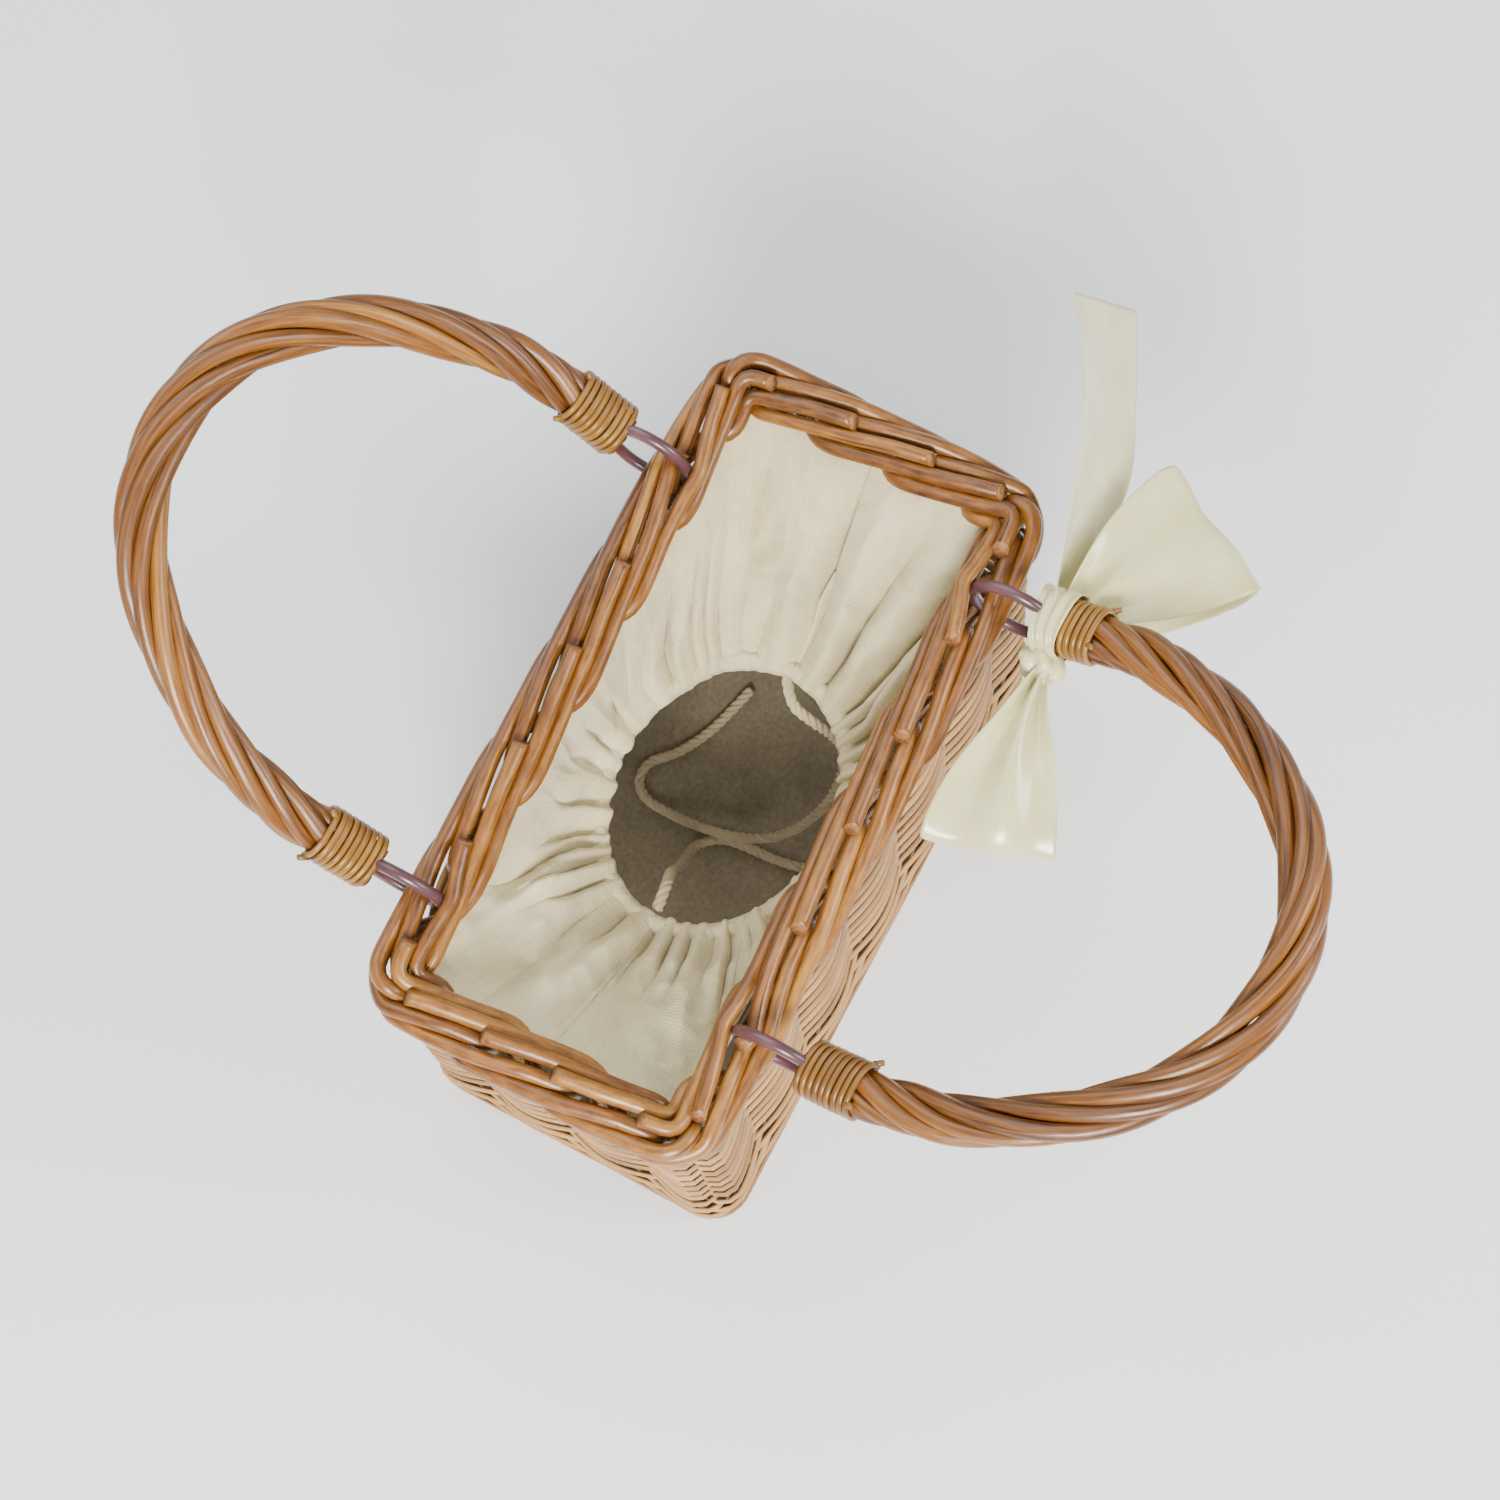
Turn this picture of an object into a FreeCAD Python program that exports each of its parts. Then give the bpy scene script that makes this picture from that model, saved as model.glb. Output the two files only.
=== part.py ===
"""Flower girl basket: a rectangular willow basket with two hoop handles that swing on rings
of covered wire, a gathered cloth liner with a drawstring, and a satin bow on one handle.

Frame: +Z up, origin at the centre of the underside. X runs along the basket, the bow's
handle is on the -Y side (front) and the plain handle on the +Y side (back)."""
import FreeCAD, Part
import math
import os
from FreeCAD import Placement, Rotation, Vector

os.makedirs("parts", exist_ok=True)
doc = FreeCAD.newDocument("flower_girl_basket")
X, Y, Z = Vector(1, 0, 0), Vector(0, 1, 0), Vector(0, 0, 1)

# ---------------------------------------------------------------- driving dimensions (mm, deg)
SIZES = dict(
    rim_length=220, rim_width=112, rim_height=148, rim_chamfer=13,
    rod=5.3, stake=4.5, board_thick=4,
    wall_thick=7, wall_top=136, wall_in_top_x=9.5, wall_in_top_y=9.5,
    wall_in_foot_x=3, wall_in_foot_y=4,
    stake_half_x=93, stake_half_y=39, board_round=12,
    ring_radius=12.5, ring_wire=3.4, ring_drop=7, ring_play=0.35,
    handle_half=69.5, handle_reach=115, handle_rod=5.8, handle_shift=3,
    handle_side_arc=100, rod_side=4.65, rod_lift=2.95,
    whip_start=10, whip_length=19, whip_skein=1, back_angle=38, front_angle=24,
    liner_gap=0.6, liner_round=9, cloth=1.2, neck_half_x=44, neck_half_y=35,
    hem_depth=8, hem_wide=6.4, hem_hollow=4.4, neck_top=95,
    string=3.7, ribbon_width=38, ribbon_pinch=11, bow_thick=7, tail_thick=3,
    bow_length=52, tail_length=80, knot_radius=6.5, band_wide=8, band_thick=0.8,
)
sheet = doc.addObject("Spreadsheet::Sheet", "Sizes")
for row, (alias, value) in enumerate(SIZES.items(), 1):
    sheet.set("A%d" % row, alias)
    sheet.set("B%d" % row, str(value))
    sheet.setAlias("B%d" % row, alias)
doc.recompute()
NODES = []


def size(alias):
    """The number that the sheet holds under this alias."""
    return float(sheet.get(alias))


def node(thing, label):
    """Mark a finished sub-part; its label becomes its file's name."""
    thing.Label = label
    NODES.append(thing)
    return thing


def bind(thing, **expressions):
    """Bind properties of a document object to cells of the sheet."""
    for prop, text in expressions.items():
        thing.setExpression(prop, text)
    return thing


def shaped(name, shape, placement=None):
    """A free-form sub-part, for shapes that neither a sketch nor a primitive gives."""
    thing = doc.addObject("Part::Feature", name)
    thing.Shape = shape
    if placement is not None:
        thing.Placement = placement
    return thing


def boolean(kind, name, base, *tools):
    """A Part cut or fuse of document objects, kept parametric."""
    if kind == "Part::Cut":
        tool = tools[0]
        if len(tools) > 1:
            tool = doc.addObject("Part::Compound", name + "_tools")
            tool.Links = list(tools)
        made = doc.addObject(kind, name)
        made.Base, made.Tool = base, tool
    else:
        made = doc.addObject(kind, name)
        made.Shapes = [base, *tools]
    return made


def origin_plane(body, role):
    return next(f for f in body.Origin.OriginFeatures if f.Role == role)


def slab(name, low_half, high_half, tall, thick, placement, role="XZ_Plane", tip_round=None):
    """A flat piece: a trapezoid standing on its low edge, padded both ways from its plane.
    low_half, high_half, tall and thick are expressions on the sheet."""
    body = doc.addObject("PartDesign::Body", name)
    sketch = body.newObject("Sketcher::SketchObject", name + "_outline")
    sketch.AttachmentSupport = (origin_plane(body, role), [""])
    sketch.MapMode = "FlatFace"
    corners = [Vector(-20, 0), Vector(20, 0), Vector(15, 30), Vector(-15, 30)]
    for i, corner in enumerate(corners):
        sketch.addGeometry(Part.LineSegment(corner, corners[(i + 1) % 4]), False)
    import Sketcher
    link = Sketcher.Constraint
    for i in range(4):
        sketch.addConstraint(link("Coincident", i, 2, (i + 1) % 4, 1))
    sketch.addConstraint(link("PointOnObject", 0, 1, -1))
    sketch.addConstraint(link("PointOnObject", 0, 2, -1))
    sketch.addConstraint(link("Symmetric", 2, 1, 2, 2, -2))
    for label, expression, points in (("low_left", low_half, (0, 1, -1, 1)),
                                      ("low_right", low_half, (-1, 1, 0, 2)),
                                      ("high_right", high_half, (-1, 1, 2, 1))):
        sketch.addConstraint(link("DistanceX", *points, 10.0))
        sketch.renameConstraint(sketch.ConstraintCount - 1, label)
        sketch.setExpression("Constraints." + label, expression)
    sketch.addConstraint(link("DistanceY", -1, 1, 2, 1, 30.0))
    sketch.renameConstraint(sketch.ConstraintCount - 1, "tall")
    sketch.setExpression("Constraints.tall", tall)
    pad = body.newObject("PartDesign::Pad", name + "_pad")
    pad.Profile = sketch
    pad.Midplane = True
    pad.setExpression("Length", thick)
    sketch.Visibility = False
    body.Placement = placement
    return body


# ---------------------------------------------------------------- willow shell
HALF_X, HALF_Y, TOP = size("rim_length") / 2, size("rim_width") / 2, size("rim_height")
WALL_FOOT = size("board_thick")
SIDES = ("front", "back", "left", "right")


def wall_line(z):
    """Half sizes of the rectangle that the stakes stand on, at a height: the walls lean in."""
    t = (z - WALL_FOOT) / (size("wall_top") - WALL_FOOT)
    half_x = HALF_X - size("wall_in_foot_x") * (1 - t) - size("wall_in_top_x") * t
    half_y = HALF_Y - size("wall_in_foot_y") * (1 - t) - size("wall_in_top_y") * t
    return half_x, half_y


def stake_points(side, z):
    """Where one side's stakes are, at a height."""
    half_x, half_y = wall_line(z)
    grow_x, grow_y = half_x / wall_line(size("wall_top"))[0], half_y / wall_line(size("wall_top"))[1]
    if side in ("front", "back"):
        sign = -1 if side == "front" else 1
        step = size("stake_half_x") / 3
        return [Vector(i * step * grow_x, sign * half_y, z) for i in range(-3, 4)]
    sign = -1 if side == "left" else 1
    step = size("stake_half_y") * 2 / 3
    return [Vector(sign * half_x, (i - 1.5) * step * grow_y, z) for i in range(4)]


def make_stakes(side):
    """Upright rods of one side, from the board's underside up to the border."""
    top = TOP - size("rod") * 2
    rods = []
    for i, (low, high) in enumerate(zip(stake_points(side, 0), stake_points(side, top)), 1):
        rod = bind(doc.addObject("Part::Cylinder", "stake_%s_%d" % (side, i)), Radius="Sizes.stake / 2")
        rod.Height = (high - low).Length
        rod.Placement = Placement(low, Rotation(Z, high - low))
        rods.append(rod)
    group = doc.addObject("Part::Compound", "stakes_" + side)
    group.Links = rods
    return node(group, "stakes_" + side)


stakes = {side: make_stakes(side) for side in SIDES}


def ring_cutters(side, placement, names):
    """The room that a side's two rings take in the wall below the border."""
    for cutter, sign in zip(names, (-1, 1)):
        bind(cutter, Radius1="Sizes.ring_radius", Radius2="Sizes.ring_wire / 2 + Sizes.ring_play")
        cutter.Placement = placement.multiply(
            Placement(Vector(sign * size("handle_half"), 0, 0), Rotation(Y, 90)))
    return names


def hinge_placement(side):
    """Where a handle's own frame sits: X along the rim, Y out along the handle, Z across it."""
    drop = TOP - size("ring_drop")
    if side == "back":
        return Placement(Vector(-size("handle_shift"), HALF_Y, drop), Rotation(X, size("back_angle")))
    turn = Rotation(X, -size("front_angle")).multiply(Rotation(Z, 180))
    return Placement(Vector(size("handle_shift"), -HALF_Y, drop), turn)


def make_wall(side):
    """The woven wall of one side, bored for its stakes and notched for the handle's rings."""
    low_x, low_y = wall_line(WALL_FOOT)
    high_x, high_y = wall_line(size("wall_top"))
    thick = size("wall_thick")
    if side in ("front", "back"):
        sign, lean = (-1, low_y - high_y) if side == "front" else (1, low_y - high_y)
        low, high, foot = low_x + thick / 2, high_x + thick / 2, Vector(0, sign * low_y, WALL_FOOT + 0.2)
        turn = Rotation(X, math.degrees(math.atan2(lean, size("wall_top") - WALL_FOOT)) * sign)
    else:
        sign, lean = (-1, low_x - high_x) if side == "left" else (1, low_x - high_x)
        low, high = low_y - thick / 2 - 0.3, high_y - thick / 2 - 0.3
        foot = Vector(sign * low_x, 0, WALL_FOOT + 0.2)
        tilt = math.degrees(math.atan2(lean, size("wall_top") - WALL_FOOT))
        turn = Rotation(Y, -tilt * sign).multiply(Rotation(Z, 90))
    tall = math.hypot(size("wall_top") - WALL_FOOT, lean) - 0.5
    body = slab("weave_" + side, "%.4f" % low, "%.4f" % high, "%.4f" % tall, "Sizes.wall_thick",
                Placement(foot, turn))
    tools = [stakes[side]]
    if side in ("front", "back"):
        names = [doc.addObject("Part::Torus", "ring_room_%s_%d" % (side, i)) for i in (1, 2)]
        tools += ring_cutters(side, hinge_placement(side), names)
    return node(boolean("Part::Cut", "wall_" + side, body, *tools), "wall_" + side)


for side in SIDES:
    make_wall(side)


def octagon(out, z):
    """The rim's outline, grown by out: a rectangle with its corners cut off."""
    half_x, half_y, cut = HALF_X + out, HALF_Y + out, size("rim_chamfer")
    cut += out * (2 - math.sqrt(2))
    ends = [(half_x - cut, -half_y), (half_x, -half_y + cut), (half_x, half_y - cut), (half_x - cut, half_y)]
    ends += [(-x, y) for x, y in reversed(ends)]
    return [Vector(x, y, z) for x, y in ends]


def rod_ring(out, z, radius):
    """One rod laid all round along the octagon, mitred at its corners."""
    points = octagon(out, z)
    start = (points[0] + points[-1]) / 2
    wire = Part.makePolygon([start, *points, start])
    circle = Part.Wire([Part.makeCircle(radius, start, X)])
    return wire.makePipeShell([circle], True, False, 1)


def side_prism(side):
    """The share of the basket that belongs to one side, split along its corners' diagonals."""
    reach = 60
    run_x, run_y = HALF_X - size("rim_chamfer") / 2, HALF_Y - size("rim_chamfer") / 2
    inner = Vector(run_x - run_y, 0, 0)
    far = Vector(run_x + reach, run_y + reach, 0)
    if side in ("front", "back"):
        sign = -1 if side == "front" else 1
        outline = [inner, Vector(far.x, sign * far.y, 0), Vector(-far.x, sign * far.y, 0), -inner]
    else:
        sign = -1 if side == "left" else 1
        outline = [inner * sign, Vector(sign * far.x, -far.y, 0), Vector(sign * far.x, far.y, 0)]
    face = Part.Face(Part.makePolygon([*outline, outline[0]]))
    return face.extrude(Vector(0, 0, 2 * TOP))


def make_border(side):
    """The rim's border on one side: two rods outside the handles' rings and two inside them."""
    half = size("rod") / 2
    clear = size("ring_radius") + size("ring_wire") / 2 + size("ring_play")
    tracks = [(half, half + 3.75), (half + 3.8, half), (clear + half, half), (clear + half, half + 5.4)]
    rods = [rod_ring(-inward, TOP - down, half).common(side_prism(side)) for inward, down in tracks]
    return node(shaped("border_" + side, Part.makeCompound([s for r in rods for s in r.Solids])),
                "border_" + side)


for side in SIDES:
    make_border(side)

def make_board():
    """The base board, round-cornered; the stakes are let into holes through its edge."""
    thick = size("wall_thick")
    half_x, half_y = wall_line(WALL_FOOT)
    body = slab("board_blank", "%.4f" % (half_x + thick / 2), "%.4f" % (half_x + thick / 2),
                "%.4f" % (2 * half_y + thick), "Sizes.board_thick",
                Placement(Vector(0, -half_y - thick / 2, size("board_thick") / 2), Rotation()),
                role="XY_Plane")
    doc.recompute()
    blank = body.Tip
    edges = ["Edge%d" % i for i, e in enumerate(body.Shape.Edges, 1)
             if abs(e.tangentAt(e.FirstParameter).z) > 0.99]
    rounded = body.newObject("PartDesign::Fillet", "board_corners")
    rounded.Base = (blank, edges)
    bind(rounded, Radius="Sizes.board_round")
    body.Tip = rounded
    return node(boolean("Part::Cut", "base_board", body, *stakes.values()), "base_board")


make_board()


# ---------------------------------------------------------------- liner and drawstring
def rounded_loop(half_x, half_y, radius, z):
    """A rounded rectangle, as a closed wire of lines and arcs."""
    edges = []
    for quarter, (sx, sy) in enumerate(((1, 1), (-1, 1), (-1, -1), (1, -1))):
        centre = Vector(sx * (half_x - radius), sy * (half_y - radius), z)
        edges.append(Part.makeCircle(radius, centre, Z, 90 * quarter, 90 * quarter + 90))
    joined = []
    for i, arc in enumerate(edges):
        follow = edges[(i + 1) % 4]
        joined += [arc, Part.makeLine(arc.valueAt(arc.LastParameter), follow.valueAt(follow.FirstParameter))]
    return Part.Wire(joined)


def funnel(shrink):
    """The solid inside the liner: straight down from the rim, then in to the gathered neck."""
    top_x, top_y = (w - size("wall_thick") / 2 - size("liner_gap") for w in wall_line(size("wall_top")))
    neck_x, neck_y = size("neck_half_x") + size("hem_wide") / 2, size("neck_half_y") + size("hem_wide") / 2
    low = size("neck_top")
    loops = [rounded_loop(top_x - shrink, top_y - shrink, size("liner_round"), size("wall_top") - 1),
             rounded_loop(neck_x - shrink, neck_y - shrink, neck_y - shrink - 1, low)]
    return Part.makeLoft(loops, True, True)


def make_liner():
    """Front and back cloth panels, seamed at the middle of the two ends."""
    cone = funnel(0).cut(funnel(size("cloth")))
    half = Part.makeBox(2 * HALF_X, HALF_Y, TOP, Vector(-HALF_X, 0, 0))
    node(shaped("liner_back_panel", cone.common(half)), "liner_back_panel")
    half.translate(Vector(0, -HALF_Y, 0))
    node(shaped("liner_front_panel", cone.common(half)), "liner_front_panel")


make_liner()


def oval(grow, low, high):
    """A disc of the neck's oval outline, grown all round, between two heights."""
    half_x, half_y = size("neck_half_x") + grow, size("neck_half_y") + grow
    ellipse = Part.Ellipse(Vector(0, 0, low), half_x, half_y)
    return Part.Face(Part.Wire([ellipse.toShape()])).extrude(Vector(0, 0, high - low))


NECK_MID = size("neck_top") - size("hem_depth") / 2


def make_hem():
    """The hem round the neck: a hollow channel, slit at both ends for the drawstring."""
    wide, hollow = size("hem_wide") / 2, size("hem_hollow") / 2
    low = size("neck_top") - size("hem_depth")
    hem = oval(wide, low, size("neck_top")).cut(oval(-wide, low, size("neck_top")))
    channel = oval(hollow, NECK_MID - hollow, NECK_MID + hollow)
    hem = hem.cut(channel.cut(oval(-hollow, NECK_MID - hollow, NECK_MID + hollow)))
    for sign in (-1, 1):
        slit = Part.makeBox(2 * wide, 2 * hollow + 1, 2 * hollow)
        slit.translate(Vector(sign * (size("neck_half_x") - wide) - wide, -hollow - 0.5, NECK_MID - hollow))
        hem = hem.cut(slit)
    node(shaped("drawstring_hem", hem), "drawstring_hem")


make_hem()


def arc_path(points):
    """Straight runs joined by tangent arcs, each as large as its two runs allow."""
    edges, radii, here = [], [], points[0]
    for before, corner, after in zip(points, points[1:], points[2:]):
        back, on = before - corner, after - corner
        turn = math.pi - back.getAngle(on)
        trim = 0.45 * min(back.Length, on.Length)
        radii.append(trim / math.tan(turn / 2))
        start, end = corner + back.normalize() * trim, corner + on.normalize() * trim
        inward = (back + on).normalize()
        reach = radii[-1] / math.cos(turn / 2) - radii[-1]
        edges += [Part.LineSegment(here, start).toShape(),
                  Part.Arc(start, corner + inward * reach, end).toShape()]
        here = end
    edges.append(Part.LineSegment(here, points[-1]).toShape())
    return Part.Wire(edges), radii


def make_string(label, points):
    """A free end of the drawstring, as a round tube along its route."""
    path, radii = arc_path([Vector(*p) for p in points])
    first = path.Edges[0]
    circle = Part.Wire([Part.makeCircle(size("string") / 2, first.valueAt(first.FirstParameter),
                                        first.tangentAt(first.FirstParameter))])
    tube = path.makePipeShell([circle], True, False)
    section = math.pi * size("string") ** 2 / 4
    print("%s: length %.1f, volume / (section x length) %.4f, radii %s"
          % (label, path.Length, tube.Volume / section / path.Length, ["%.0f" % r for r in radii]))
    node(shaped(label, tube), label)


# The two free ends leave the hem's slits, drop to the board and lie on it.
STRING_RIGHT = [(40.8, 0, 91), (33.2, -4.2, 90.3), (32, -12.8, 86.6), (33.6, -19, 78.5), (33, -23.5, 68),
                (28, -25.2, 57.5), (20.2, -23.7, 45), (12.2, -17.1, 29.5), (6.5, -7.9, 18.5),
                (3.4, 2.5, 13.4), (1, 14, 13.4), (1.4, 26, 8.2), (2.2, 37, 5.9), (7.6, 42.2, 5.9),
                (15, 41.6, 5.9), (19.8, 35.6, 5.9), (30, 29.4, 5.9), (41, 25.6, 5.9), (52.5, 23, 5.9)]
STRING_LEFT = [(-40.8, 0, 91), (-34.2, 1, 90.4), (-29.4, 2.6, 84.8), (-26.2, 5, 73), (-22.2, 7.6, 54),
               (-16.4, 10.1, 34), (-8.8, 13.2, 15.2), (-3.4, 13.4, 7.7), (2.8, 7, 5.9),
               (3.8, -2.5, 5.9), (4, -13, 5.9), (6.5, -24, 5.9), (11.5, -33, 5.9), (19, -38.5, 5.9)]
make_string("drawstring_right_end", STRING_RIGHT)
make_string("drawstring_left_end", STRING_LEFT)

loop = Part.Wire([Part.Ellipse(Vector(0, 0, NECK_MID), size("neck_half_x"), size("neck_half_y")).toShape()])
begin = Part.makeCircle(size("string") / 2, Vector(size("neck_half_x"), 0, NECK_MID), Y)
node(shaped("drawstring_in_hem", loop.makePipeShell([Part.Wire([begin])], True, True)), "drawstring_in_hem")


# ---------------------------------------------------------------- handles
def hoop_rod(name, side_shift, lift, placement):
    """One rod of a hoop: two legs and three tangent arcs, beside its neighbours."""
    side_arc, half = size("handle_side_arc"), size("handle_half")
    eighth = math.radians(45)
    top_arc = (half - side_arc * (1 - math.cos(eighth))) / math.cos(eighth)
    leg_end = size("handle_reach") - top_arc - (side_arc - top_arc) * math.sin(eighth)
    pieces = []
    for sign in (-1, 1):
        leg = bind(doc.addObject("Part::Cylinder", "%s_leg" % name), Radius="Sizes.handle_rod / 2")
        leg.Height = leg_end - size("whip_start")
        leg.Placement = Placement(Vector(sign * (half + side_shift), size("whip_start"), lift), Rotation(X, -90))
        bend = bind(doc.addObject("Part::Torus", "%s_side" % name), Radius2="Sizes.handle_rod / 2")
        bend.Radius1, bend.Angle3 = side_arc + side_shift, 45
        turn = Rotation(Z, 0 if sign > 0 else 135)
        bend.Placement = Placement(Vector(sign * (half - side_arc), leg_end, lift), turn)
        pieces += [leg, bend]
    crown = bind(doc.addObject("Part::Torus", "%s_top" % name), Radius2="Sizes.handle_rod / 2")
    crown.Radius1, crown.Angle3 = top_arc + side_shift, 90
    crown.Placement = Placement(Vector(0, size("handle_reach") - top_arc, lift), Rotation(Z, 45))
    whole = boolean("Part::MultiFuse", name, *pieces, crown)
    whole.Placement = placement
    return node(whole, name)


WHIP_IN = (2 * size("rod_side") + size("handle_rod") + 0.1, 2 * size("rod_lift") + size("handle_rod") + 0.1)
WHIP_OUT = tuple(w + 2 * size("whip_skein") for w in WHIP_IN)


def stadium(wide, high, length, name):
    """A block of oval section: a box with its long edges rounded off, growing along +Y."""
    block = doc.addObject("Part::Box", name + "_block")
    block.Length, block.Width, block.Height = wide, length, high
    block.Placement = Placement(Vector(-wide / 2, 0, -high / 2), Rotation())
    doc.recompute()
    rounded = doc.addObject("Part::Fillet", name)
    rounded.Base = block
    radius = size("handle_rod") / 2 + (wide - WHIP_IN[0]) / 2
    rounded.Edges = [(i, radius, radius) for i, e in enumerate(block.Shape.Edges, 1)
                     if abs(e.tangentAt(e.FirstParameter).y) > 0.99]
    return rounded


def sleeve(name, inner, outer, start, length, leg_x, ring, placement):
    """A wrapping round the handle's end, open for the ring to pass through."""
    shell, bore = (stadium(*section, length, "%s_%s" % (name, part))
                   for section, part in ((outer, "outside"), (inner, "inside")))
    for block in (shell, bore):
        block.Placement = Placement(Vector(leg_x, start, 0), Rotation())
    tube = boolean("Part::Cut", name + "_tube", shell, bore)
    made = boolean("Part::Cut", name, tube, ring)
    made.Placement = placement
    return node(made, name)


def make_handle(side):
    """A hoop of four rods, whipped at both ends, on two rings of covered wire."""
    placement = hinge_placement(side)
    spots = [(-1, -1), (-1, 1), (1, -1), (1, 1)]
    for i, (across, up) in enumerate(spots, 1):
        hoop_rod("handle_%s_rod_%d" % (side, i), across * size("rod_side"), up * size("rod_lift"), placement)
    for sign in (-1, 1):
        end = "left" if (sign < 0) == (side == "back") else "right"
        leg_x = sign * size("handle_half")
        ring = bind(doc.addObject("Part::Torus", "ring_%s_%s" % (side, end)),
                    Radius1="Sizes.ring_radius", Radius2="Sizes.ring_wire / 2")
        ring.Placement = placement.multiply(Placement(Vector(leg_x, 0, 0), Rotation(Y, 90)))
        node(ring, "ring_%s_%s" % (side, end))
        passage = bind(doc.addObject("Part::Torus", "passage_%s_%s" % (side, end)),
                       Radius1="Sizes.ring_radius", Radius2="Sizes.ring_wire / 2")
        passage.Placement = Placement(Vector(leg_x, 0, 0), Rotation(Y, 90))
        sleeve("whipping_%s_%s" % (side, end), WHIP_IN, WHIP_OUT, size("whip_start"),
               size("whip_length"), leg_x, passage, placement)


for side in ("back", "front"):
    make_handle(side)


# ---------------------------------------------------------------- satin bow on the front handle
def bow_piece(name, start, end, across, low, high, tall, thick):
    """A flat piece of the bow from start to end, in the handle's frame; across is the
    direction of the ribbon's width."""
    start, end, across = Vector(*start), Vector(*end), Vector(*across)
    along = (end - start).normalize()
    through = across.cross(along).normalize()
    across = along.cross(through)
    frame = FreeCAD.Matrix(across.x, -through.x, along.x, start.x, across.y, -through.y, along.y, start.y,
                           across.z, -through.z, along.z, start.z, 0, 0, 0, 1)
    placement = hinge_placement("front").multiply(Placement(frame))
    return node(slab(name + "_body", low, high, tall, thick, placement), name)


def make_bow():
    """The band round the whipping, its knot, two loops and a tail."""
    place, leg_x = hinge_placement("front"), -size("handle_half")
    grow = 2 * size("band_thick")
    passage = doc.getObject("passage_front_right")
    sleeve("ribbon_band", tuple(w + 0.02 for w in WHIP_OUT), tuple(w + grow for w in WHIP_OUT),
           size("whip_start") + 0.5, size("band_wide"), leg_x, passage, place)
    knot = doc.addObject("Part::Sphere", "ribbon_knot")
    bind(knot, Radius="Sizes.knot_radius")
    knot_x = leg_x + WHIP_OUT[0] / 2 + size("band_thick") + size("knot_radius") + 0.05
    knot.Placement = place.multiply(Placement(Vector(knot_x, 15, 1), Rotation()))
    node(knot, "ribbon_knot")
    bow_piece("ribbon_loop_left", (knot_x + 6.6, 17, 0), (-4, 29, -7), (0, 1, 0.1),
              "Sizes.ribbon_pinch / 2", "Sizes.ribbon_width / 2", "Sizes.bow_length", "Sizes.bow_thick")
    bow_piece("ribbon_loop_right", (leg_x - 12.1, 26.5, 4), (-117, 45, 2), (0.5, -1, 0.2),
              "Sizes.ribbon_pinch / 2", "Sizes.ribbon_width / 2", "Sizes.bow_length - 10", "Sizes.bow_thick")
    bow_piece("ribbon_tail", (leg_x - 11, 18, 0), (-157, -3, 23), (-0.1, 0.5, 1),
              "Sizes.ribbon_pinch / 2", "Sizes.ribbon_width / 2", "Sizes.tail_length", "Sizes.tail_thick")


make_bow()

# ---------------------------------------------------------------- checks and files
doc.recompute()
for thing in doc.Objects:
    bad = [s for s in thing.State if s in ("Invalid", "Error")]
    if bad:
        raise SystemExit("%s is %s" % (thing.Label, bad))
for thing in NODES:
    if thing.Shape.isNull() or not thing.Shape.isValid() or not thing.Shape.Solids:
        raise SystemExit("%s has no valid solid" % thing.Label)
for thing in NODES:
    thing.Shape.exportStep("parts/%s.step" % thing.Label)
print("%d sub-parts written" % len(NODES))
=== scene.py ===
"""Flower girl basket: woven willow on a base board, with twisted hoop handles on rings of
covered wire, a gathered cloth liner with its drawstring, and a satin bow.

Lengths in this file are millimetres until the moment they go into a mesh."""
import math
import random

import bmesh
import bpy
import numpy as np
from mathutils import Matrix, Vector, noise


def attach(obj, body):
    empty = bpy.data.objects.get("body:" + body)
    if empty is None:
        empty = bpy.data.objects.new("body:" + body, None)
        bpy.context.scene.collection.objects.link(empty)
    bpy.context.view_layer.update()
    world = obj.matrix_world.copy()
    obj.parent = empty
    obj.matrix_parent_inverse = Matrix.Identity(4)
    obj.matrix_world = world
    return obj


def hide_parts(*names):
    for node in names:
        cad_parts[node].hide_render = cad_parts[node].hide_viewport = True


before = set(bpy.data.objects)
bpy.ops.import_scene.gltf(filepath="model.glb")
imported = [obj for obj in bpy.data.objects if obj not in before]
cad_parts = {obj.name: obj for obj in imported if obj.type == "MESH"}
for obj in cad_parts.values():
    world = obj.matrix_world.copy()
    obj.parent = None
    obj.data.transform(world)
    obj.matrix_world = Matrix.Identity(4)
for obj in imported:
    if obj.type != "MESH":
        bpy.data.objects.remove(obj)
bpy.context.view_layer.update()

MM = 0.001
random.seed(11)
Z = Vector((0, 0, 1))

# the basket's sizes, as in the CAD
RIM_X, RIM_Y, RIM_TOP = 110.0, 56.0, 148.0
HINGE_Z = RIM_TOP - 7
RING_RADIUS, RING_WIRE = 12.5, 1.7
HANDLE_HALF, HANDLE_REACH, HANDLE_SHIFT = 69.5, 115.0, 3.0
BACK_ANGLE, FRONT_ANGLE = 38.0, 24.0
ROD, STAKE = 2.2, 2.25
WALL_LOW, WALL_HIGH = 4.0, 136.0
NECK_X, NECK_Y, NECK_Z = 44.0, 35.0, 91.0


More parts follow.
